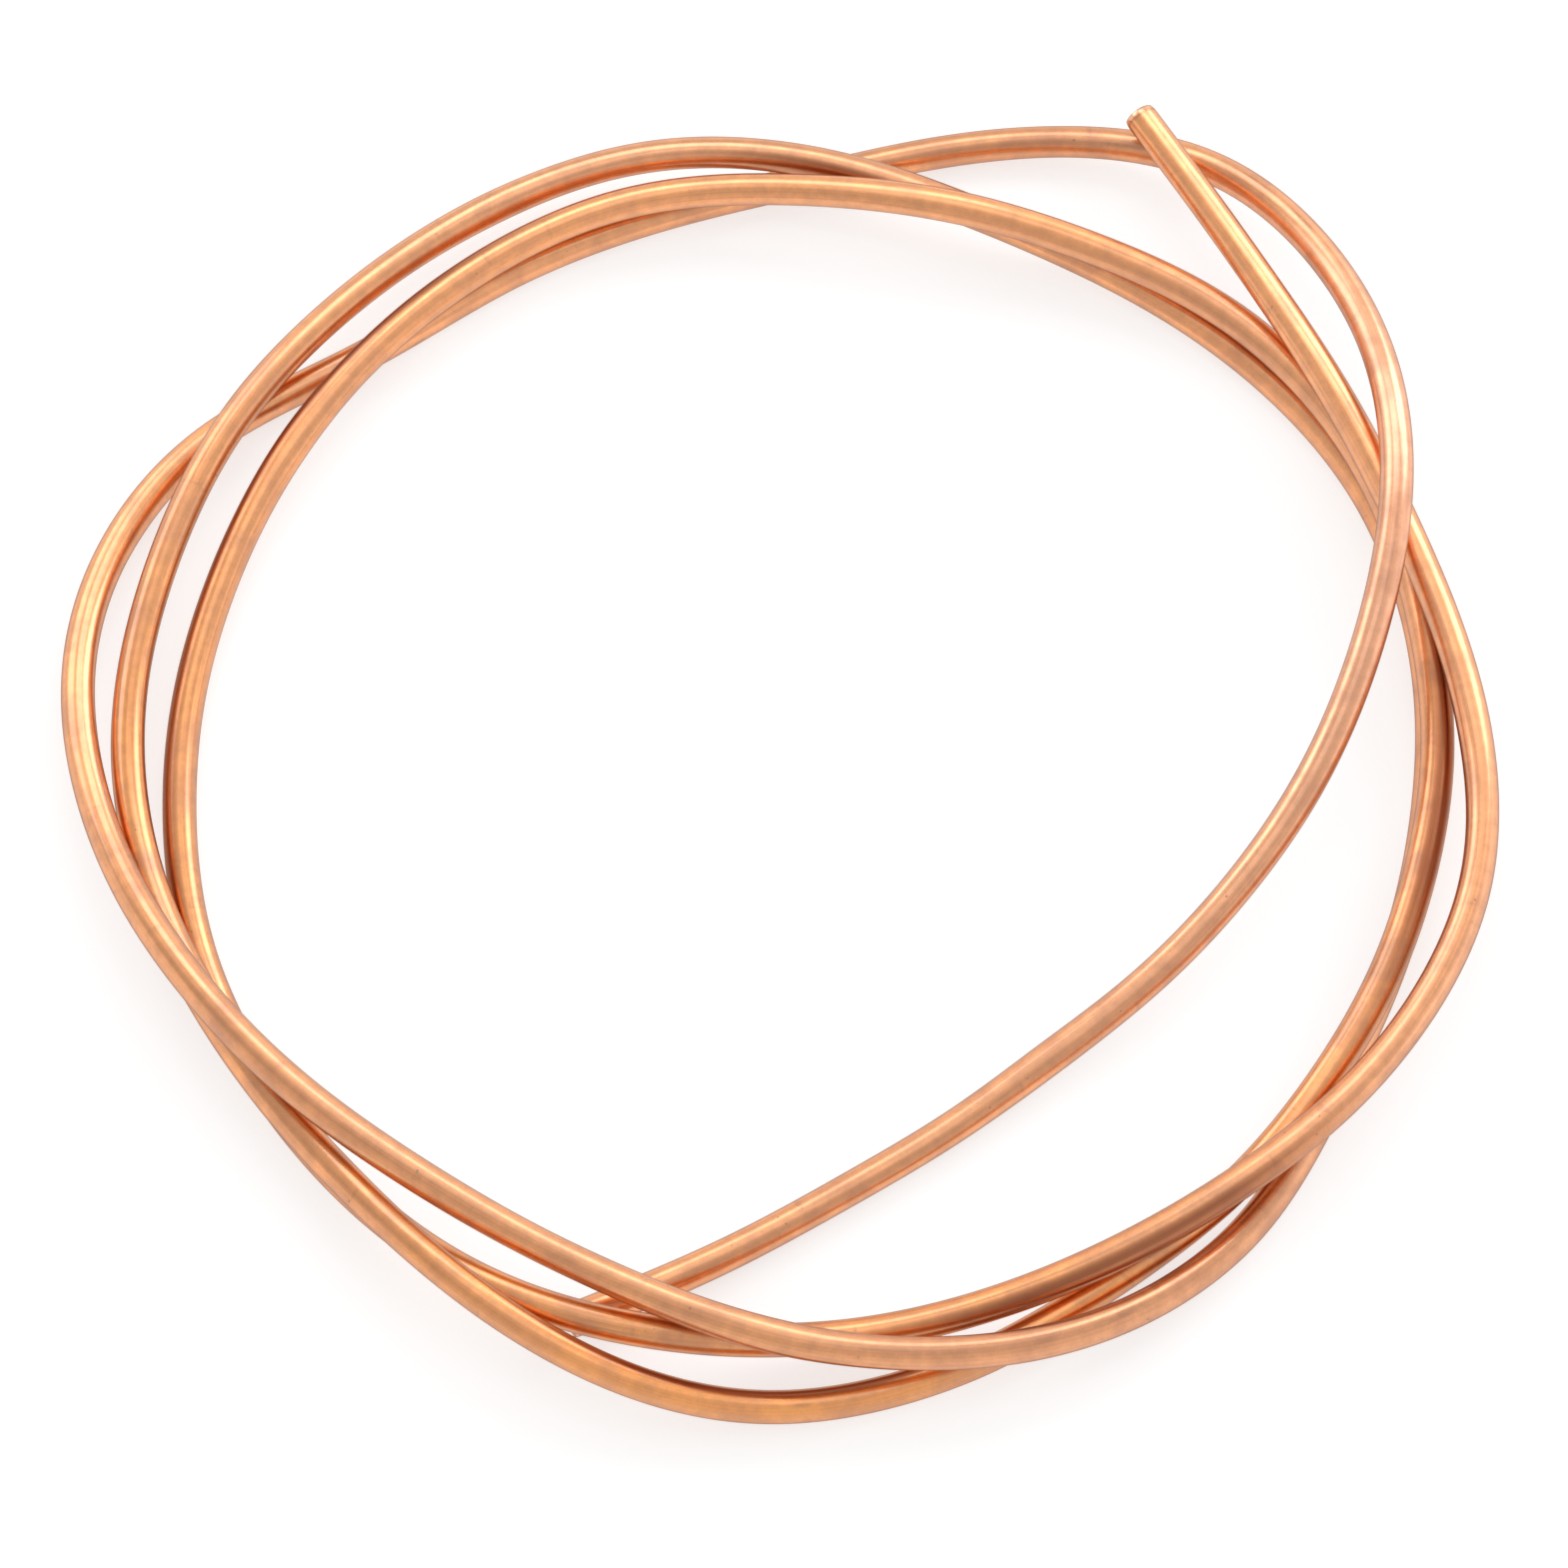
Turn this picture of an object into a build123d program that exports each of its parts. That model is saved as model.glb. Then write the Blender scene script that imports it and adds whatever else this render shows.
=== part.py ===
from build123d import *
import math
import os

# One length of soft copper tube, wound by hand into three and a half loose turns.
# Millimetres and degrees. +Z is up and the coil lies on the floor at z = 0.

# The tube
tube_od = 6.0
tube_wall = 1.0

# The coil as it lies
coil_radius = 120.0      # usual distance of the tube's centre line from the middle of the coil
turn_gap = 0.3           # air between the tube and the turn that it lies across
free_end_angle = 63.0    # where the free end points, counter-clockwise from +X
route_turns = 3.48       # turns made, clockwise from the free end to the tucked end
bend_share = 0.45        # part of the shorter run at a corner that the bend there takes up

# The cut ends
roll_length = 1.2        # outer edge pressed in by the cutter's wheel, along the tube
roll_depth = 0.2         # and how far in it goes
bore_deburr = 0.3        # inner edge broken at the mouth

# Corners of the route at even angles from the free end, as distances from the middle in coil radii.
route_radius_shares = [
    1.205, 1.075, 1.015, 1.005, 1.03, 1.05, 1.015, 0.96, 0.92, 0.9, 0.9, 0.925,
    0.935, 0.915, 0.915, 0.915, 0.905, 0.905, 0.91, 0.93, 0.955, 0.98, 0.96, 0.95,
    0.985, 1.025, 1.02, 0.995, 0.98, 0.955, 0.945, 0.94, 0.935, 0.975, 1.005, 1.0,
    0.96, 0.92, 0.925, 0.955, 0.985, 0.995, 1.01, 1.025, 1.05, 1.065, 1.025, 0.98,
    0.99, 1.005, 1.01, 0.995, 0.97, 0.95, 0.95, 1.0, 1.005, 0.97, 0.915, 0.865,
    0.855, 0.88, 0.93, 0.995, 1.06, 1.095, 1.05, 0.945, 0.955, 0.97, 1.02, 1.145,
    1.235, 1.165, 1.03, 0.895, 0.78, 0.69, 0.63, 0.6, 0.61, 0.655, 0.755, 0.915,
]

# Their heights over the floor, in layers of one tube and its gap: where a turn crosses another, the
# upper one is a whole layer higher.
route_level_shares = [
    1.75, 1.8, 2.05, 2.0, 1.75, 1.65, 1.75, 1.7, 1.2, 0.5, 0.3, 1.05,
    1.0, 0.1, 0.0, 0.0, 0.1, 0.25, 0.65, 1.0, 1.0, 1.0, 1.4, 1.95,
    1.25, 0.95, 1.0, 1.0, 1.0, 1.05, 1.15, 0.65, 0.0, 0.0, 0.1, 1.15,
    1.85, 1.2, 1.0, 0.8, 0.7, 0.85, 1.1, 0.9, 0.65, 0.7, 1.1, 0.85,
    0.05, 0.0, 0.0, 0.0, 0.0, 0.0, 0.0, 0.1, 0.8, 1.4, 1.75, 1.8,
    1.85, 2.05, 2.05, 1.6, 0.9, 0.3, 0.0, 0.0, 0.0, 0.0, 0.0, 0.1,
    0.75, 1.85, 3.25, 2.65, 1.7, 1.0, 0.5, 0.2, 0.05, 0.0, 0.0, 0.0,
]

tube_radius = tube_od / 2
bore_radius = tube_radius - tube_wall
layer = tube_od + turn_gap


def route_corners():
    step = 360 * route_turns / (len(route_radius_shares) - 1)
    corners = []
    for place, (radius_share, level_share) in enumerate(zip(route_radius_shares, route_level_shares)):
        angle = math.radians(free_end_angle - place * step)
        reach = coil_radius * radius_share
        height = tube_radius + layer * level_share
        corners.append(Vector(reach * math.cos(angle), reach * math.sin(angle), height))
    return corners


def bend_radii(corners):
    radii = []
    for before, corner, after in zip(corners, corners[1:], corners[2:]):
        half_turn = math.radians((corner - before).get_angle(after - corner)) / 2
        shorter_run = min((corner - before).length, (after - corner).length)
        radii.append(bend_share * shorter_run / math.tan(half_turn))
    return radii


def coiled_tube():
    corners = route_corners()
    radii = bend_radii(corners)
    route = FilletPolyline(*corners, radius=radii)
    section = Plane(route @ 0, z_dir=route % 0) * (Circle(tube_radius) - Circle(bore_radius))
    tube = sweep(section, path=route)
    print("route", round(route.length, 1), "bends", round(min(radii), 1), "to", round(max(radii), 1))
    print("volume", round(tube.volume, 1), "section by length", round(section.area * route.length, 1))
    return tube


def end_face(tube, order):
    return tube.faces().filter_by(GeomType.PLANE).sort_by(Axis.Z)[order]


def cut_ends(tube):
    for order in (0, -1):
        end = end_face(tube, order)
        tube = chamfer(end.outer_wire().edges(), roll_depth, roll_length, reference=end)
        end = end_face(tube, order)
        tube = chamfer(end.inner_wires()[0].edges(), bore_deburr)
    return tube


tube = cut_ends(coiled_tube())
box = tube.bounding_box()
tube = Pos(-box.center().X, -box.center().Y, -box.min.Z) * tube
os.makedirs("parts", exist_ok=True)
export_step(tube, "parts/copper_tube.step")
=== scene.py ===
import math
import bpy
import numpy as np
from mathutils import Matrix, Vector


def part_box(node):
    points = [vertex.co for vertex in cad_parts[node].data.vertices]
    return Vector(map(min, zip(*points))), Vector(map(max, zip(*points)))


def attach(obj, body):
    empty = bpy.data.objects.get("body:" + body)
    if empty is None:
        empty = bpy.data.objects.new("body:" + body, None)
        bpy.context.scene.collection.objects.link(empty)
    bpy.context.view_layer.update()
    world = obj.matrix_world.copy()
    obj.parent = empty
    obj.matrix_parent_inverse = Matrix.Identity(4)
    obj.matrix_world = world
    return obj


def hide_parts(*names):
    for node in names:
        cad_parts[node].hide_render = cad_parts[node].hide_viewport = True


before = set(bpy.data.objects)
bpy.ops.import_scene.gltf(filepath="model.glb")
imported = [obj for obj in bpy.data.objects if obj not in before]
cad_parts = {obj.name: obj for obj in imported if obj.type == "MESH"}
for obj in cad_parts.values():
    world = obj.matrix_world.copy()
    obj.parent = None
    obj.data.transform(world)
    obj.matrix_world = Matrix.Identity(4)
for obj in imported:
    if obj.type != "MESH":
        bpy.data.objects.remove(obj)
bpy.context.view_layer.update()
scene = bpy.context.scene

cameraSet = {
    "frameWidth": 1569,        # the photograph's pixels, square
    "focal": 7320,             # focal length in those pixels
    "sensorWidth": 36.0,       # millimetres
    "elevation": 66.0,         # degrees over the floor
    "distance": 1.311,         # metres to the aim
    "aim": (0.0015, -0.0046, 0.0),
}


# the camera stands in front of the aim, at the distance and the height angle set
def makeCamera(c):
    data = bpy.data.cameras.new("camera")
    data.sensor_width = c["sensorWidth"]
    data.lens = c["focal"] / c["frameWidth"] * data.sensor_width
    tilt = math.radians(c["elevation"])
    cam = bpy.data.objects.new("camera", data)
    x, y, z = c["aim"]
    cam.location = (x, y - c["distance"] * math.cos(tilt), z + c["distance"] * math.sin(tilt))
    cam.rotation_euler = (math.pi / 2 - tilt, 0, 0)
    scene.collection.objects.link(cam)
    scene.camera = cam


makeCamera(cameraSet)
print("camera set")

# Metres and degrees. The route's corners stand at even angles, clockwise from the free end: distance from
# the middle in coil radii, and height over the floor in layers of one tube and its gap.
tubeSet = {
    "outerRadius": 0.003,
    "boreRadius": 0.002,
    "coilRadius": 0.120,
    "layer": 0.0063,
    "freeEndAngle": 63.0,
    "turns": 3.48,
    "bendShare": 0.45,              # part of the shorter run at a corner that the bend there takes up
    "routeStep": 0.0005,            # between the places worked out along the route
    "finePlaces": 60,               # places for each corner on the spline, before they are evened out
    "ringStep": 0.0015,             # between rings of the outer wall
    "boreStep": 0.0065,             # between rings of the bore
    "around": 40,                   # points on each ring
    "sharpAngle": 40.0,             # edges sharper than this stay crisp
    "rollLength": 0.0012,
    "rollDepth": 0.0002,
    "lipShares": [0.0, 0.03, 0.1, 0.22, 0.4, 0.62, 0.85],        # rings of the rolled lip, in roll lengths
    "lipCut": 0.00006,              # taken off the very edge of the lip
    "deburr": 0.0003,               # how far the bore's edge is broken
    "mouthAlongShares": [0.0, 0.45, 1.0, 1.6, 2.6],              # rings of the bore's mouth, in deburrs
    "mouthRadiusShares": [1.0, 0.5, 0.06, 0.0, 0.0],             # and how much wider than the bore
    "boreStartShare": 4,            # where the plain bore starts, in deburrs
    "ovalShare": 0.02,              # how far hand bending has pressed the round section oval
    "swayWaves": [(0.127, 0.00012), (0.083, 0.00010), (0.049, 0.00005)],     # lengths and depths, sideways
    "swayStart": 0.6,
    "leanWaves": [(0.31, 1.1), (0.17, 0.8), (0.094, 0.5)],       # lengths and radians, of the oval's lean
    "leanStart": 1.3,
    "waveShift": 2.4,               # radians between the starts of one wave and the next
    "radiusShares": [
        1.205, 1.075, 1.015, 1.005, 1.03, 1.05, 1.015, 0.96, 0.92, 0.9, 0.9, 0.925,
        0.935, 0.915, 0.915, 0.915, 0.905, 0.905, 0.91, 0.93, 0.955, 0.98, 0.96, 0.95,
        0.985, 1.025, 1.02, 0.995, 0.98, 0.955, 0.945, 0.94, 0.935, 0.975, 1.005, 1.0,
        0.96, 0.92, 0.925, 0.955, 0.985, 0.995, 1.01, 1.025, 1.05, 1.065, 1.025, 0.98,
        0.99, 1.005, 1.01, 0.995, 0.97, 0.95, 0.95, 1.0, 1.005, 0.97, 0.915, 0.865,
        0.855, 0.88, 0.93, 0.995, 1.06, 1.095, 1.05, 0.945, 0.955, 0.97, 1.02, 1.145,
        1.235, 1.165, 1.03, 0.895, 0.78, 0.69, 0.63, 0.6, 0.61, 0.655, 0.755, 0.915],
    "levelShares": [
        1.75, 1.8, 2.05, 2.0, 1.75, 1.65, 1.75, 1.7, 1.2, 0.5, 0.3, 1.05,
        1.0, 0.1, 0.0, 0.0, 0.1, 0.25, 0.65, 1.0, 1.0, 1.0, 1.4, 1.95,
        1.25, 0.95, 1.0, 1.0, 1.0, 1.05, 1.15, 0.65, 0.0, 0.0, 0.1, 1.15,
        1.85, 1.2, 1.0, 0.8, 0.7, 0.85, 1.1, 0.9, 0.65, 0.7, 1.1, 0.85,
        0.05, 0.0, 0.0, 0.0, 0.0, 0.0, 0.0, 0.1, 0.8, 1.4, 1.75, 1.8,
        1.85, 2.05, 2.05, 1.6, 0.9, 0.3, 0.0, 0.0, 0.0, 0.0, 0.0, 0.1,
        0.75, 1.85, 3.25, 2.65, 1.7, 1.0, 0.5, 0.2, 0.05, 0.0, 0.0, 0.0],
}


# corner = polar place at its even angle, raised to the tube's middle
def routeCorners(t):
    count = len(t["radiusShares"])
    angle = np.radians(t["freeEndAngle"] - np.arange(count) * 360.0 * t["turns"] / (count - 1))
    reach = np.array(t["radiusShares"]) * t["coilRadius"]
    height = t["outerRadius"] + np.array(t["levelShares"]) * t["layer"]
    return np.stack([reach * np.cos(angle), reach * np.sin(angle), height], 1)


# top of the tangent arc that rounds each corner: along the bisector, by radius / cos(half turn) - radius
def bendTops(corners, share):
    back, on = corners[:-2] - corners[1:-1], corners[2:] - corners[1:-1]
    backLength, onLength = np.linalg.norm(back, axis=1), np.linalg.norm(on, axis=1)
    back, on = back / backLength[:, None], on / onLength[:, None]
    halfTurn = (np.pi - np.arccos(np.clip((back * on).sum(1), -1, 1))) / 2
    radius = share * np.minimum(backLength, onLength) / np.tan(halfTurn)
    middle = back + on
    middle /= np.linalg.norm(middle, axis=1)[:, None]
    tops = corners[1:-1] + middle * (radius / np.cos(halfTurn) - radius)[:, None]
    return np.concatenate([corners[:1], tops, corners[-1:]])


# natural cubic spline through the points over their chord length, read at even steps of arc length
def smoothRoute(points, step, finePlaces):
    chord = np.concatenate([[0], np.cumsum(np.linalg.norm(np.diff(points, axis=0), axis=1))])
    gap = np.diff(chord)
    count = len(points)
    matrix, target = np.eye(count), np.zeros((count, 3))
    inner = np.arange(1, count - 1)
    matrix[inner, inner - 1] = gap[:-1]
    matrix[inner, inner] = 2 * (gap[:-1] + gap[1:])
    matrix[inner, inner + 1] = gap[1:]
    slope = np.diff(points, axis=0) / gap[:, None]
    target[1:-1] = 6 * np.diff(slope, axis=0)
    bend = np.linalg.solve(matrix, target)
    fine = np.linspace(0, chord[-1], finePlaces * count)
    start = np.clip(np.searchsorted(chord, fine, side="right") - 1, 0, count - 2)
    stop = start + 1
    width = gap[start][:, None]
    ahead, behind = (chord[stop] - fine)[:, None], (fine - chord[start])[:, None]
    curve = (bend[start] * ahead**3 + bend[stop] * behind**3) / (6 * width)
    curve += (points[start] / width - bend[start] * width / 6) * ahead
    curve += (points[stop] / width - bend[stop] * width / 6) * behind
    run = np.concatenate([[0], np.cumsum(np.linalg.norm(np.diff(curve, axis=0), axis=1))])
    length = run[-1]
    even = np.linspace(0, length, int(round(length / step)) + 1)
    return np.stack([np.interp(even, run, curve[:, i]) for i in range(3)], 1), even, length


# the closed profile of the wall, end to end and back through the bore, as (distance along, radius) rows;
# lip radius = outer radius - roll depth * (1 - share of the roll length) squared
def wallProfile(t, length):
    outer, bore, roll, broken = t["outerRadius"], t["boreRadius"], t["rollLength"], t["deburr"]
    share = np.array(t["lipShares"])
    lipAlong = share * roll
    lipRadius = outer - t["rollDepth"] * (1 - share) ** 2
    lipRadius[0] -= t["lipCut"]
    bodyAlong = np.linspace(roll, length - roll, int(round((length - 2 * roll) / t["ringStep"])))
    boreStart = t["boreStartShare"] * broken
    boreAlong = np.linspace(length - boreStart, boreStart, int(round(length / t["boreStep"])))
    mouthAlong = np.array(t["mouthAlongShares"]) * broken
    mouthRadius = bore + broken * np.array(t["mouthRadiusShares"])
    along = np.concatenate([lipAlong, bodyAlong, length - lipAlong[::-1],
                            length - mouthAlong, boreAlong, mouthAlong[::-1]])
    radius = np.concatenate([lipRadius, np.full(len(bodyAlong), outer), lipRadius[::-1],
                             mouthRadius, np.full(len(boreAlong), bore), mouthRadius[::-1]])
    outerRows = 2 * len(lipAlong) + len(bodyAlong)
    innerRows = 2 * len(mouthAlong) + len(boreAlong)
    inner = np.concatenate([np.zeros(outerRows), np.ones(innerRows)])
    return along, radius, inner


# sum of sine waves of the lengths and depths given, each starting at its own place
def waves(along, pairs, start, shift):
    return sum(depth * np.sin(2 * np.pi * along / length + start + shift * i)
               for i, (length, depth) in enumerate(pairs))


# the route swayed sideways by slight waves, then
# ring = route point + radius * (1 + oval * cos 2(turn - lean)) * (cos turn * side + sin turn * up),
# side level and up square to the route, and the lean of the oval wandering along the tube
def tubeSurface(t):
    tops = bendTops(routeCorners(t), t["bendShare"])
    route, even, length = smoothRoute(tops, t["routeStep"], t["finePlaces"])
    outward = route[:, :2] / np.linalg.norm(route[:, :2], axis=1)[:, None]
    route[:, :2] += waves(even, t["swayWaves"], t["swayStart"], t["waveShift"])[:, None] * outward
    along, radius, inner = wallProfile(t, length)
    centre = np.stack([np.interp(along, even, route[:, i]) for i in range(3)], 1)
    heading = np.gradient(route, even, axis=0)
    heading = np.stack([np.interp(along, even, heading[:, i]) for i in range(3)], 1)
    heading /= np.linalg.norm(heading, axis=1)[:, None]
    side = np.cross(heading, [0, 0, 1.0])
    side /= np.linalg.norm(side, axis=1)[:, None]
    up = np.cross(side, heading)
    turn = np.arange(t["around"]) * 2 * np.pi / t["around"]
    lean = waves(along, t["leanWaves"], t["leanStart"], t["waveShift"])
    oval = 1 + t["ovalShare"] * np.cos(2 * (turn[None, :] - lean[:, None]))
    ring = np.cos(turn)[None, :, None] * side[:, None, :] + np.sin(turn)[None, :, None] * up[:, None, :]
    points = centre[:, None, :] + (radius[:, None] * oval)[:, :, None] * ring
    place = np.stack(np.broadcast_arrays(np.cos(turn)[None, :], np.sin(turn)[None, :], along[:, None]), 2)
    low, high = (np.array(c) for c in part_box("copper_tube"))
    flat = points.reshape(-1, 3)
    shift = (low + high) / 2 - (flat.min(0) + flat.max(0)) / 2
    shift[2] = low[2] - flat[:, 2].min()
    return points + shift, place, inner, length


# quads between each ring and the next, closed round the tube and through the bore;
# each point keeps its place as (cos turn, sin turn, metres along)
def makeTube(t):
    points, place, inner, length = tubeSurface(t)
    rows, columns = points.shape[:2]
    index = np.arange(rows * columns).reshape(rows, columns)
    onRow, onColumn = np.roll(index, -1, 0), np.roll(index, -1, 1)
    quads = np.stack([index, onRow, np.roll(onRow, -1, 1), onColumn], 2).reshape(-1, 4)
    mesh = bpy.data.meshes.new("copperTube")
    mesh.vertices.add(rows * columns)
    mesh.vertices.foreach_set("co", points.reshape(-1))
    mesh.loops.add(quads.size)
    mesh.loops.foreach_set("vertex_index", quads.reshape(-1))
    mesh.polygons.add(len(quads))
    mesh.polygons.foreach_set("loop_start", np.arange(len(quads)) * 4)
    rowInner = np.minimum(inner + np.roll(inner, -1), 1).astype(int)
    mesh.polygons.foreach_set("material_index", np.repeat(rowInner, columns))
    mesh.update(calc_edges=True)
    mesh.attributes.new("tubePlace", "FLOAT_VECTOR", "POINT").data.foreach_set("vector", place.reshape(-1))
    mesh.validate()
    mesh.shade_smooth()
    mesh.set_sharp_from_angle(angle=math.radians(t["sharpAngle"]))
    tube = bpy.data.objects.new("copperTube", mesh)
    scene.collection.objects.link(tube)
    print("tube", round(length, 4), "m long,", len(quads) * 2, "triangles")
    return tube, length


tube, tubeLength = makeTube(tubeSet)
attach(tube, "root")
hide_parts("copper_tube")


# each input is joined to the socket given, or set to the value
def fillInputs(tree, one, inputs):
    for name, value in inputs.items():
        if isinstance(value, bpy.types.NodeSocket):
            tree.links.new(value, one.inputs[name])
        else:
            one.inputs[name].default_value = value


def addNode(tree, kind, inputs=None, **settings):
    one = tree.nodes.new("ShaderNode" + kind)
    for name, value in settings.items():
        setattr(one, name, value)
    fillInputs(tree, one, inputs or {})
    return one


def addMath(tree, operation, first, second, clamp=False, third=0.0):
    inputs = {0: first, 1: second, 2: third}
    return addNode(tree, "Math", inputs, operation=operation, use_clamp=clamp).outputs[0]


# 1 - value
def addRest(tree, value):
    return addMath(tree, "SUBTRACT", 1.0, value)


# a grey ramp through the stops, each a place and a level, with places counted from 0 to the last
def addRamp(tree, value, stops):
    last = stops[-1][0]
    one = addNode(tree, "ValToRGB", {"Fac": addMath(tree, "DIVIDE", value, last)})
    one.color_ramp.interpolation = "B_SPLINE"
    while len(one.color_ramp.elements) < len(stops):
        one.color_ramp.elements.new(0.5)
    for element, (at, level) in zip(one.color_ramp.elements, stops):
        element.position = at / last
        element.color = (level, level, level, 1)
    return one.outputs["Color"]


# a value from low..high brought to 0..1 with soft ends
def addStep(tree, value, low, high):
    inputs = {"Value": value, "From Min": low, "From Max": high}
    return addNode(tree, "MapRange", inputs, interpolation_type="SMOOTHSTEP").outputs["Result"]


# a value from the first span brought evenly to the second
def addRange(tree, value, taken, given):
    inputs = {"Value": value, "From Min": taken[0], "From Max": taken[1],
              "To Min": given[0], "To Max": given[1]}
    return addNode(tree, "MapRange", inputs).outputs["Result"]


def addMix(tree, share, first, second, blend="MIX"):
    inputs = {0: share, 6: first, 7: second}      # the node's factor and its two colours
    return addNode(tree, "Mix", inputs, data_type="RGBA", blend_type=blend).outputs[2]


# the colour laid over the metal where the mask is, by the share given
def addLayer(tree, metal, mask, share, colour):
    return addMix(tree, addMath(tree, "MULTIPLY", mask, share), metal, colour)


def startGroup(name, inputs, output):
    group = bpy.data.node_groups.new(name, "ShaderNodeTree")
    for label, kind in inputs.items():
        group.interface.new_socket(label, in_out="INPUT", socket_type="NodeSocket" + kind)
    group.interface.new_socket(output, in_out="OUTPUT", socket_type="NodeSocketFloat")
    return group, group.nodes.new("NodeGroupInput").outputs, group.nodes.new("NodeGroupOutput").inputs


def useGroup(tree, group, inputs):
    one = addNode(tree, "Group", node_tree=group)
    fillInputs(tree, one, inputs)
    return one.outputs[0]


groupSet = {"streakRoughness": 0.6, "patchRoughness": 0.55}


# noise stretched along the tube: place is (cos turn, sin turn, metres along), times its fineness each way
def makeStreakGroup(g):
    inputs = {"Place": "Vector", "Round": "Float", "Along": "Float", "Detail": "Float"}
    group, taken, given = startGroup("drawStreaks", inputs, "Streaks")
    stretch = addNode(group, "CombineXYZ", {"X": taken["Round"], "Y": taken["Round"], "Z": taken["Along"]})
    spread = addNode(group, "VectorMath", {0: taken["Place"], 1: stretch.outputs[0]}, operation="MULTIPLY")
    noise = addNode(group, "TexNoise", {"Vector": spread.outputs[0], "Scale": 1.0,
                                        "Detail": taken["Detail"], "Roughness": g["streakRoughness"]})
    group.links.new(noise.outputs["Fac"], given["Streaks"])
    return group


# noise in the object's own metres cut at a level: spots where it rises over the level, soft by the edge
def makePatchGroup(g):
    inputs = {"Where": "Vector", "PerMetre": "Float", "Level": "Float", "Edge": "Float", "Detail": "Float"}
    group, taken, given = startGroup("patches", inputs, "Patches")
    noise = addNode(group, "TexNoise", {"Vector": taken["Where"], "Scale": taken["PerMetre"],
                                        "Detail": taken["Detail"], "Roughness": g["patchRoughness"]})
    high = addMath(group, "ADD", taken["Level"], taken["Edge"])
    group.links.new(addStep(group, noise.outputs["Fac"], taken["Level"], high), given["Patches"])
    return group


streakGroup = makeStreakGroup(groupSet)
patchGroup = makePatchGroup(groupSet)


def addStreaks(tree, place, setting):
    fineRound, fineAlong, detail = setting
    return useGroup(tree, streakGroup, {"Place": place, "Round": fineRound, "Along": fineAlong,
                                        "Detail": detail})


def addPatches(tree, where, setting):
    perMetre, level, edge, detail = setting
    return useGroup(tree, patchGroup, {"Where": where, "PerMetre": perMetre, "Level": level,
                                       "Edge": edge, "Detail": detail})


# a metal material with its shader, the tube's own place and the object's metres
def startMetal(name):
    material = bpy.data.materials.new(name)
    material.use_nodes = True
    tree = material.node_tree
    shader = tree.nodes["Principled BSDF"]
    shader.inputs["Metallic"].default_value = 1.0
    place = addNode(tree, "Attribute", attribute_name="tubePlace").outputs["Vector"]
    where = addNode(tree, "TexCoord").outputs["Object"]
    return material, tree, shader, place, where


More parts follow.
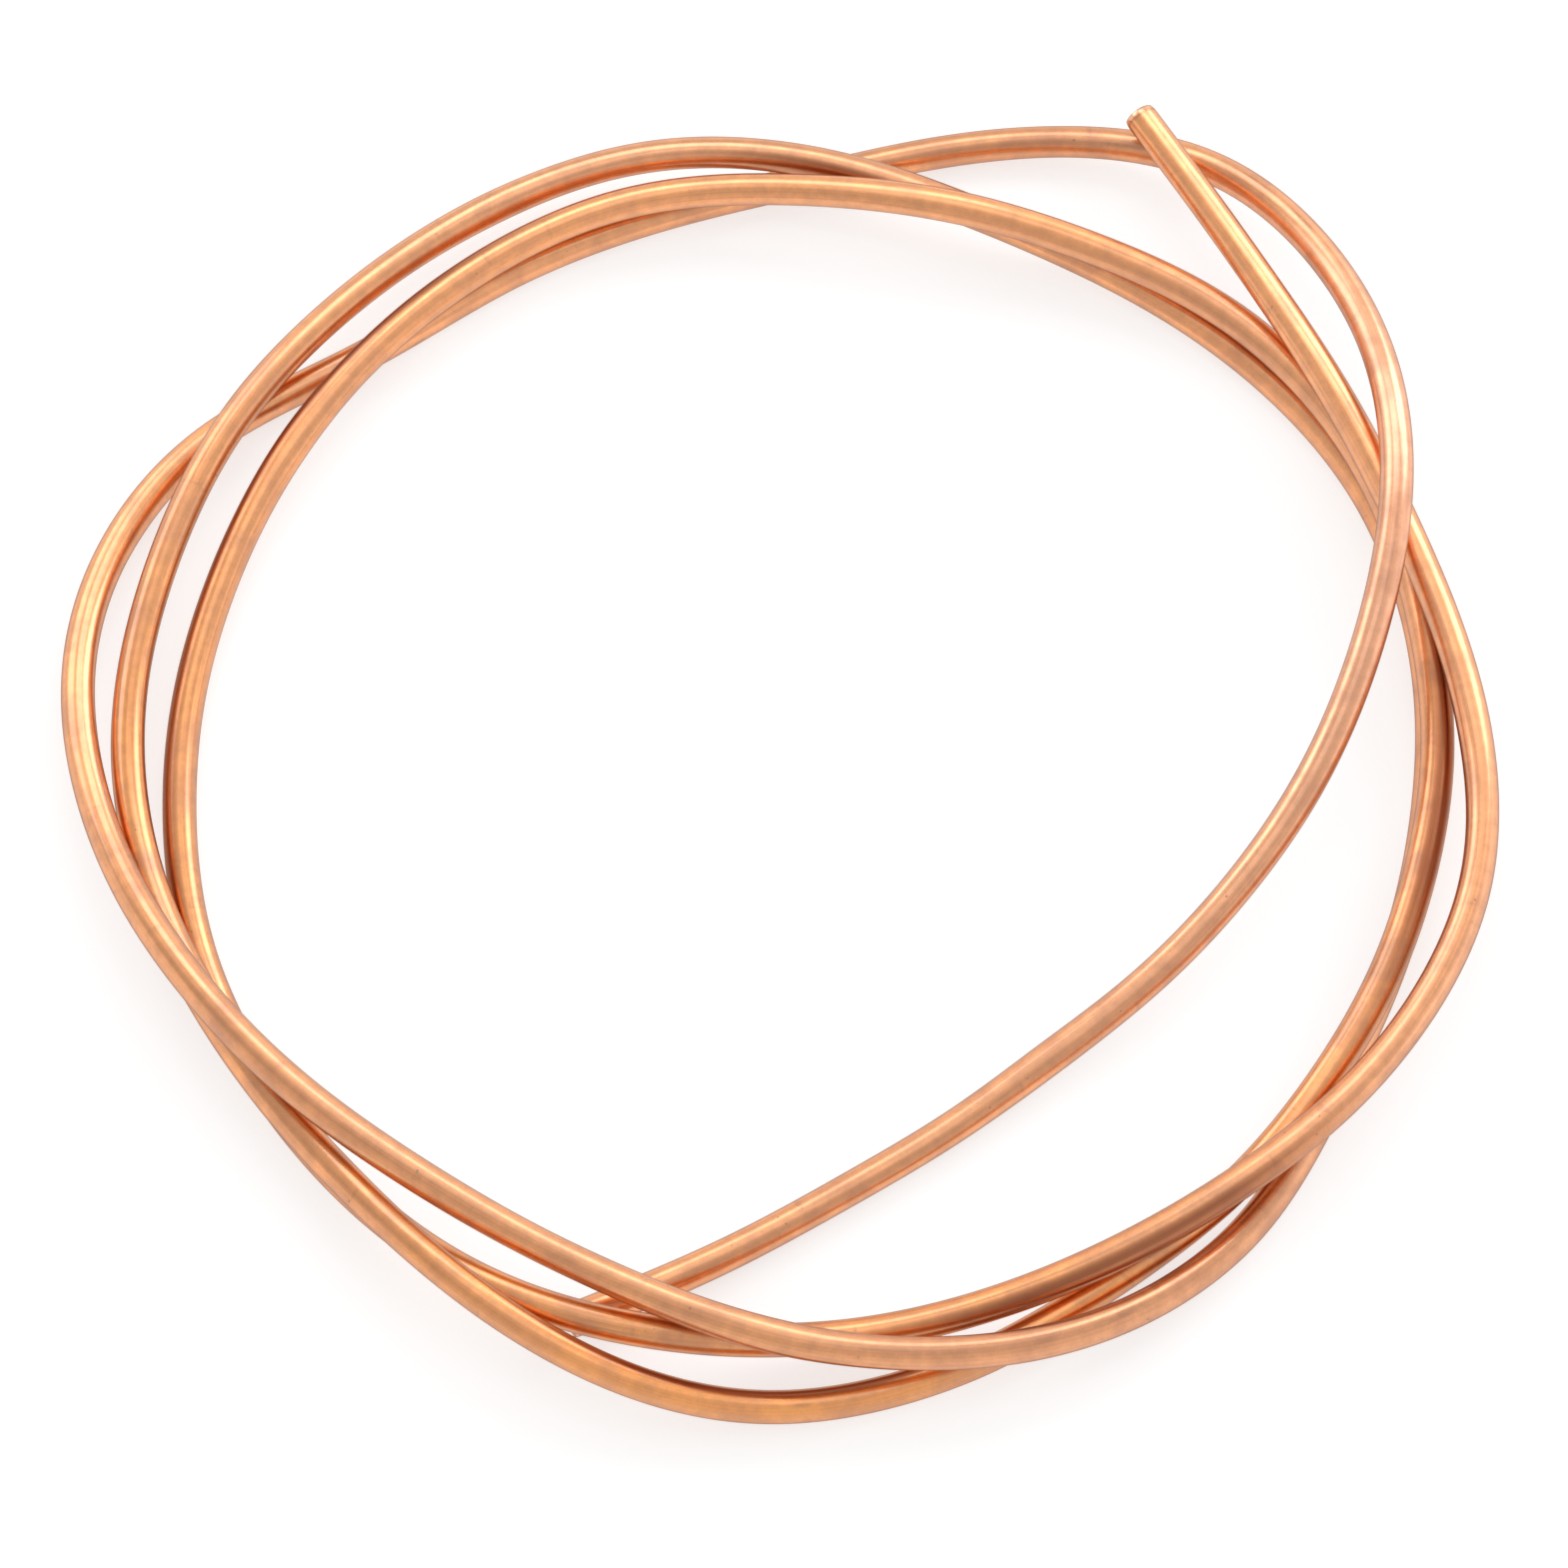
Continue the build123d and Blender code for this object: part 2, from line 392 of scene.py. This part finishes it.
copperSet = {
    "golden": (0.91, 0.342, 0.072, 1),      # fresh metal, warmer
    "rose": (0.87, 0.415, 0.24, 1),         # lightly oxidised, pinker
    "brown": (0.46, 0.19, 0.085, 1),        # dull patches, and painted shade where the dullness ramp darkens crowded turns
    "streak": (0.34, 0.13, 0.055, 1),       # tarnish drawn out along the tube; also the painted shade in bend creases
    # dark bands: real stains, and painted shade where neighbouring turns shade or mirror onto the tube
    "stainAndShade": (0.3, 0.085, 0.034, 1),
    "speck": (0.12, 0.055, 0.03, 1),
    "paintedEdgeShade": (0.3, 0.14, 0.08, 1),            # painted shade on the wall seen nearly edge on, for the mirrored shadow beside the tube
    "lip": (0.9, 0.52, 0.34, 1),            # the last millimetre, rolled in and scuffed pale by the cutter
    "lipEdgeAndGrooveShade": (0.16, 0.075, 0.045, 1),     # dark cut edge, and painted shade in the groove behind the lip
    "edgeTint": (0.74, 0.58, 0.5, 1),
    "film": (1.0, 0.15, 1.8),               # thin clear film: how much, its roughness, its bending of light
    "filmLoss": 0.8,                        # share of the film that is gone on the dark bands and the painted edge shade
    "roughness": (0.22, 0.43),              # bright and dull metal
    "lineRoughness": 0.12,                  # added by draw lines
    "speckRoughness": 0.2,
    "lineDepth": 0.000004,                  # metres
    "dentDepth": 0.00015,
    # patterns stretched along the tube: how fine round it, how fine along it, detail
    "streaks": {
        "fine": (7.0, 6.0, 3.0),
        "broad": (1.5, 5.0, 1.5),
        "drawn": (2.2, 7.0, 2.5),
        "slow": (0.35, 5.0, 1.0),
        "dents": (0.8, 40.0, 1.0),
        "rings": (0.5, 420.0, 1.0),
    },
    # patterns in the object's metres: how fine per metre, level, edge, detail
    "patches": {
        "grain": (2600.0, 0.2, 0.6, 2.0),
        "dull": (110.0, 0.4, 0.3, 8.0),
        "spots": (900.0, 0.73, 0.06, 1.0),
        "mottle": (420.0, 0.28, 0.44, 4.0),
        "smudge": (95.0, 0.53, 0.16, 5.0),
        "near": (38.0, 0.47, 0.15, 1.0),
    },
    "streakSpan": (0.3, 0.7),               # part of the streak noise that is used
    "streakShades": {"fine": (0.88, 1.1), "broad": (0.82, 1.18)},        # darkest and lightest
    "patchShades": {"grain": (0.95, 1.05), "mottle": (0.91, 1.1)},
    "roseSway": 0.12,                       # how far the share of rose wanders
    "dullPatch": (0.6, 0.35),               # patches: more where the ramp is high, and everywhere
    "dullEven": 0.45,                       # even dullness, partly painted shade, where the ramp is high
    "brownShare": 0.6,
    "tarnishSpan": (0.5, 0.66),
    "tarnishShares": (0.42, 0.16),          # more where smudged, and everywhere
    "stainShadeBase": 0.38,                      # least strength of a dark band
    "stainShadeSoft": 14.0,                      # degrees that a dark band fades over, past its half width
    "stainShadeCore": 0.4,                       # share of the half width at full strength
    "stainShadeFade": 0.04,                      # metres that a dark band fades over, along
    "creaseShadeSpan": (0.66, 0.72),
    "creaseShadeShare": 0.25,
    "speckShare": 0.5,
    "paintedEdgeSpan": (0.5, 0.86),
    "paintedEdgeShare": 0.7,
    # spans in metres from the nearer end, and how strongly each is laid on
    "rolledSpan": (0.0006, 0.001),
    "rolledShare": 0.6,
    "grooveStart": (0.0008, 0.0011),
    "grooveStop": (0.0012, 0.0017),
    "grooveShadeShare": 0.35,
    "cutSpan": (0.0001, 0.0003),
    "cutShare": 0.75,
    # share of rose by metres along: the front of the second turn is golden, the run across the coil rosy
    "roseStops": [
        (0.0, 0.3), (0.1, 0.42), (0.18, 0.6), (0.27, 0.28), (0.37, 0.1), (0.55, 0.28), (0.72, 0.18),
        (0.79, 0.5), (0.86, 0.25), (0.96, 0.15), (1.02, 0.0), (1.14, 0.2), (1.2, 0.0), (1.3, 0.35),
        (1.38, 0.5), (1.46, 0.3), (1.68, 0.4), (1.82, 0.4), (1.93, 0.4), (2.16, 0.15), (2.23, 0.25),
        (2.29, 0.95), (2.36, 0.9), (2.46, 0.4), (2.54, 0.3)],
    # share of dull metal by metres along, partly painted shade of crowded turns: bright at the free end, dull
    # on the right and left of the turns
    "dullAndShadeStops": [
        (0.0, 0.05), (0.07, 0.25), (0.16, 0.4), (0.3, 0.5), (0.48, 0.7), (0.62, 0.1), (0.78, 0.3),
        (0.86, 0.9), (0.93, 0.6), (1.1, 0.05), (1.2, 0.95), (1.35, 0.05), (1.47, 0.5), (1.58, 0.85),
        (1.8, 0.1), (1.94, 0.95), (2.1, 0.0), (2.24, 0.85), (2.37, 0.25), (2.48, 0.6), (2.54, 0.5)],
    # dark bands, some real stains and some painted shade and reflection of neighbouring turns: from and to in
    # metres along, degrees round (0 inwards, 90 up, 180 outwards), half width
    "stainsAndShade": [
        (0.41, 0.64, 148, 42), (0.81, 0.92, 118, 44), (0.21, 0.32, 138, 34), (0.98, 1.1, 62, 14),
        (1.39, 1.46, 40, 30)],
}


# golden to rose along the tube, times the shade of each pattern
def addBrightMetal(tree, along, streaks, patches, c):
    wander = addRange(tree, streaks["slow"], c["streakSpan"], (-c["roseSway"], c["roseSway"]))
    rosy = addMath(tree, "ADD", addRamp(tree, along, c["roseStops"]), wander, True)
    tint = addMix(tree, rosy, c["golden"], c["rose"])
    shades = [addRange(tree, streaks[name], c["streakSpan"], span)
              for name, span in c["streakShades"].items()]
    shades += [addRange(tree, patches[name], (0.0, 1.0), span)
               for name, span in c["patchShades"].items()]
    level = shades[0]
    for shade in shades[1:]:
        level = addMath(tree, "MULTIPLY", level, shade)
    grey = addNode(tree, "CombineColor", {"Red": level, "Green": level, "Blue": level})
    return addMix(tree, 1.0, tint, grey.outputs[0], "MULTIPLY")


# dull patches, stronger where the ramp along the tube is high, plus an even dullness there; the ramp is
# partly painted shade of crowded turns
def addDullnessAndShade(tree, along, patches, c):
    dullAndShadeAlong = addRamp(tree, along, c["dullAndShadeStops"])
    more, least = c["dullPatch"]
    strength = addMath(tree, "MULTIPLY_ADD", dullAndShadeAlong, more, third=least)
    patchy = addMath(tree, "MULTIPLY", patches["dull"], strength)
    return addMath(tree, "MULTIPLY_ADD", dullAndShadeAlong, c["dullEven"], True, patchy)


# each dark band = soft window along the tube times soft window round it, the strongest one kept, then
# broken up by the drawn streaks; some bands are real stains, others painted shade of neighbouring turns
def addStainsAndShade(tree, place, along, drawn, c):
    share = 0.0
    for start, stop, degrees, half in c["stainsAndShade"]:
        angle = math.radians(degrees)
        facing = (math.cos(angle), math.sin(angle), 0.0)
        toward = addNode(tree, "VectorMath", {0: place, 1: facing}, operation="DOT_PRODUCT")
        border = math.cos(math.radians(half + c["stainShadeSoft"]))
        core = math.cos(math.radians(c["stainShadeCore"] * half))
        across = addStep(tree, toward.outputs["Value"], border, core)
        begun = addStep(tree, along, start, start + c["stainShadeFade"])
        ended = addStep(tree, along, stop - c["stainShadeFade"], stop)
        inside = addMath(tree, "MULTIPLY", begun, addRest(tree, ended))
        share = addMath(tree, "MAXIMUM", addMath(tree, "MULTIPLY", inside, across), share)
    return addMath(tree, "MULTIPLY", share, addMath(tree, "ADD", drawn, c["stainShadeBase"], True))


# by distance from the nearer end: pale rolled lip, painted shade in the groove behind it, dark cut edge
def addLips(tree, metal, along, length, c):
    fromEnd = addMath(tree, "MINIMUM", along, addMath(tree, "SUBTRACT", length, along))
    rolled = addRest(tree, addStep(tree, fromEnd, *c["rolledSpan"]))
    metal = addLayer(tree, metal, rolled, c["rolledShare"], c["lip"])
    past = addStep(tree, fromEnd, *c["grooveStop"])
    # painted shade in the groove behind the lip
    grooveShade = addMath(tree, "MULTIPLY", addStep(tree, fromEnd, *c["grooveStart"]), addRest(tree, past))
    metal = addLayer(tree, metal, grooveShade, c["grooveShadeShare"], c["lipEdgeAndGrooveShade"])
    cut = addRest(tree, addStep(tree, fromEnd, *c["cutSpan"]))
    return addLayer(tree, metal, cut, c["cutShare"], c["lipEdgeAndGrooveShade"])


# bright metal, with dull patches and painted shade of crowded turns, tarnish, stains and painted shade bands,
# painted crease shade, specks, lips with painted groove shade, and painted edge shade laid over it in turn;
# roughness follows the dull patches, draw lines and specks; height is draw lines plus shallow dents
def makeDrawnCopper(c, length):
    material, tree, shader, place, where = startMetal("drawnCopper")
    along = addNode(tree, "SeparateXYZ", {"Vector": place}).outputs["Z"]
    streaks = {name: addStreaks(tree, place, setting) for name, setting in c["streaks"].items()}
    patches = {name: addPatches(tree, where, setting) for name, setting in c["patches"].items()}
    metal = addBrightMetal(tree, along, streaks, patches, c)
    # dull brown metal, partly painted shade where neighbouring turns crowd the tube
    dull = addDullnessAndShade(tree, along, patches, c)
    metal = addLayer(tree, metal, dull, c["brownShare"], c["brown"])
    more, least = c["tarnishShares"]
    smudged = addMath(tree, "MULTIPLY_ADD", patches["smudge"], more, third=least)
    tarnish = addStep(tree, streaks["drawn"], *c["tarnishSpan"])
    metal = addLayer(tree, metal, tarnish, smudged, c["streak"])
    # dark bands laid on: real stains, and painted shade of neighbouring turns
    stainedAndShaded = addStainsAndShade(tree, place, along, streaks["drawn"], c)
    metal = addMix(tree, stainedAndShaded, metal, c["stainAndShade"])
    # painted shade in the fine bend creases across the tube
    creaseShade = addMath(tree, "MULTIPLY", addStep(tree, streaks["rings"], *c["creaseShadeSpan"]), patches["near"])
    metal = addLayer(tree, metal, creaseShade, c["creaseShadeShare"], c["streak"])
    speckled = addMath(tree, "MULTIPLY", patches["spots"], patches["near"])
    metal = addLayer(tree, metal, speckled, c["speckShare"], c["speck"])
    metal = addLips(tree, metal, along, length, c)
    # painted shade: edges turning away from the eye are darkened, for the mirrored shadow beside the tube
    facing = addNode(tree, "LayerWeight", {"Blend": 0.5}).outputs["Facing"]
    paintedEdgeShade = addStep(tree, facing, *c["paintedEdgeSpan"])
    metal = addLayer(tree, metal, paintedEdgeShade, c["paintedEdgeShare"], c["paintedEdgeShade"])
    tree.links.new(metal, shader.inputs["Base Color"])
    shader.inputs["Specular Tint"].default_value = c["edgeTint"]

    rough = addRange(tree, dull, (0.0, 1.0), c["roughness"])
    rough = addMath(tree, "MULTIPLY_ADD", streaks["fine"], c["lineRoughness"], third=rough)
    rough = addMath(tree, "MULTIPLY_ADD", speckled, c["speckRoughness"], True, rough)
    tree.links.new(rough, shader.inputs["Roughness"])

    film, filmRoughness, filmBending = c["film"]
    bare = addMath(tree, "MAXIMUM", paintedEdgeShade, stainedAndShaded)
    coat = addMath(tree, "MULTIPLY_ADD", bare, -c["filmLoss"] * film, third=film)
    tree.links.new(coat, shader.inputs["Coat Weight"])
    shader.inputs["Coat Roughness"].default_value = filmRoughness
    shader.inputs["Coat IOR"].default_value = filmBending

    lines = addNode(tree, "Bump", {"Strength": 1.0, "Distance": c["lineDepth"], "Height": streaks["fine"]})
    dented = addNode(tree, "Bump", {"Strength": 1.0, "Distance": c["dentDepth"], "Height": streaks["dents"],
                                    "Normal": lines.outputs[0]})
    tree.links.new(dented.outputs[0], shader.inputs["Normal"])
    return material


boreSet = {
    "clean": (0.74, 0.34, 0.17, 1),
    "brown": (0.36, 0.16, 0.08, 1),
    "brownShare": 0.6,
    "streaks": (5.0, 30.0, 3.0),            # how fine round the bore, how fine along it, detail
    "patches": (400.0, 0.42, 0.25, 3.0),    # how fine per metre, level, edge, detail
    "roughness": 0.32,                      # at its least, and what the streaks add
    "streakRoughness": 0.2,
    "streakDepth": 0.00001,                 # metres
}


# the bore and the cut rims: duller metal with coarse streaks from the mandrel
def makeBoreCopper(c):
    material, tree, shader, place, where = startMetal("boreCopper")
    streaks = addStreaks(tree, place, c["streaks"])
    dull = addPatches(tree, where, c["patches"])
    tree.links.new(addLayer(tree, c["clean"], dull, c["brownShare"], c["brown"]), shader.inputs["Base Color"])
    rough = addMath(tree, "MULTIPLY_ADD", streaks, c["streakRoughness"], third=c["roughness"])
    tree.links.new(rough, shader.inputs["Roughness"])
    lines = addNode(tree, "Bump", {"Strength": 1.0, "Distance": c["streakDepth"], "Height": streaks})
    tree.links.new(lines.outputs[0], shader.inputs["Normal"])
    return material


tube.data.materials.append(makeDrawnCopper(copperSet, tubeLength))
tube.data.materials.append(makeBoreCopper(boreSet))
print("copper set")

floorSet = {
    "half": 3.0,                            # metres from the middle to each side
    "colour": (0.42, 0.42, 0.42, 1),
    "glow": 0.66,                           # added where the floor is seen or mirrored
    "roughness": 0.9,
}


# 1 for rays from the eye and for mirrored or passed-through ones, else 0
def seenRay(tree):
    path = addNode(tree, "LightPath")
    mirrored = addMath(tree, "MAXIMUM", path.outputs["Is Camera Ray"], path.outputs["Is Glossy Ray"])
    return addMath(tree, "MAXIMUM", mirrored, path.outputs["Is Transmission Ray"])


# one square at floor height
def makeFloor(f):
    mesh = bpy.data.meshes.new("floor")
    half = f["half"]
    corners = [(-half, -half, 0), (half, -half, 0), (half, half, 0), (-half, half, 0)]
    mesh.from_pydata(corners, [], [(0, 1, 2, 3)])
    floor = bpy.data.objects.new("floor", mesh)
    scene.collection.objects.link(floor)
    material = bpy.data.materials.new("paleFloor")
    material.use_nodes = True
    tree = material.node_tree
    shader = tree.nodes["Principled BSDF"]
    shader.inputs["Base Color"].default_value = f["colour"]
    shader.inputs["Roughness"].default_value = f["roughness"]
    shader.inputs["Specular IOR Level"].default_value = 0.0
    shader.inputs["Emission Color"].default_value = (1, 1, 1, 1)
    tree.links.new(addMath(tree, "MULTIPLY", seenRay(tree), f["glow"]), shader.inputs["Emission Strength"])
    mesh.materials.append(material)


# soft boxes to the sides, behind and overhead, slightly cool: where each stands, its sides in metres,
# and how bright its face is (1 is white)
lightSet = {
    "colour": (0.96, 0.98, 1.0),
    "boxes": [
        {"name": "leftBox", "at": (-0.98, -0.06, 0.24), "sides": (0.80, 0.34), "bright": 0.35},
        {"name": "backLeftBox", "at": (-0.70, 0.62, 0.52), "sides": (0.66, 0.50), "bright": 2.0},
        {"name": "backBox", "at": (0.0, 0.66, 0.82), "sides": (0.60, 0.42), "bright": 2.1},
        {"name": "backRightBox", "at": (0.66, 0.64, 0.48), "sides": (0.60, 0.56), "bright": 2.8},
        {"name": "rightBox", "at": (0.97, 0.02, 0.28), "sides": (0.90, 0.38), "bright": 0.35},
        {"name": "topBox", "at": (0.04, 0.12, 1.05), "sides": (0.60, 0.44), "bright": 0.6},
    ],
}


# power = brightness * pi * area, facing the middle of the coil
def makeLight(box, colour):
    data = bpy.data.lights.new(box["name"], "AREA")
    data.shape = "RECTANGLE"
    data.size, data.size_y = box["sides"]
    data.energy = box["bright"] * math.pi * data.size * data.size_y
    data.color = colour
    lamp = bpy.data.objects.new(box["name"], data)
    lamp.location = box["at"]
    lamp.rotation_euler = (-lamp.location).to_track_quat("-Z", "Y").to_euler()
    scene.collection.objects.link(lamp)


# brightness of the surroundings by the height of the direction looked in: palest at the horizon, dimmest
# three quarters of the way up
worldSet = {
    "stops": [(0.0, 0.92), (0.15, 0.92), (0.35, 0.82), (0.55, 0.73), (0.75, 0.69), (0.9, 0.7), (1.0, 0.8)],
    "lean": 0.14,              # added on the right and taken away on the left
}


# brightness = ramp over height + lean * how far to the right
def makeWorld(w):
    world = bpy.data.worlds.new("studio")
    world.use_nodes = True
    tree = world.node_tree
    direction = addNode(tree, "TexCoord").outputs["Generated"]
    looked = addNode(tree, "SeparateXYZ", {"Vector": direction}).outputs
    byHeight = addRamp(tree, looked["Z"], w["stops"])
    level = addMath(tree, "MULTIPLY_ADD", looked["X"], w["lean"], third=byHeight)
    tree.links.new(level, tree.nodes["Background"].inputs["Color"])
    scene.world = world


makeFloor(floorSet)
for box in lightSet["boxes"]:
    makeLight(box, lightSet["colour"])
makeWorld(worldSet)
scene.view_settings.view_transform = "Standard"
print("floor and light set")
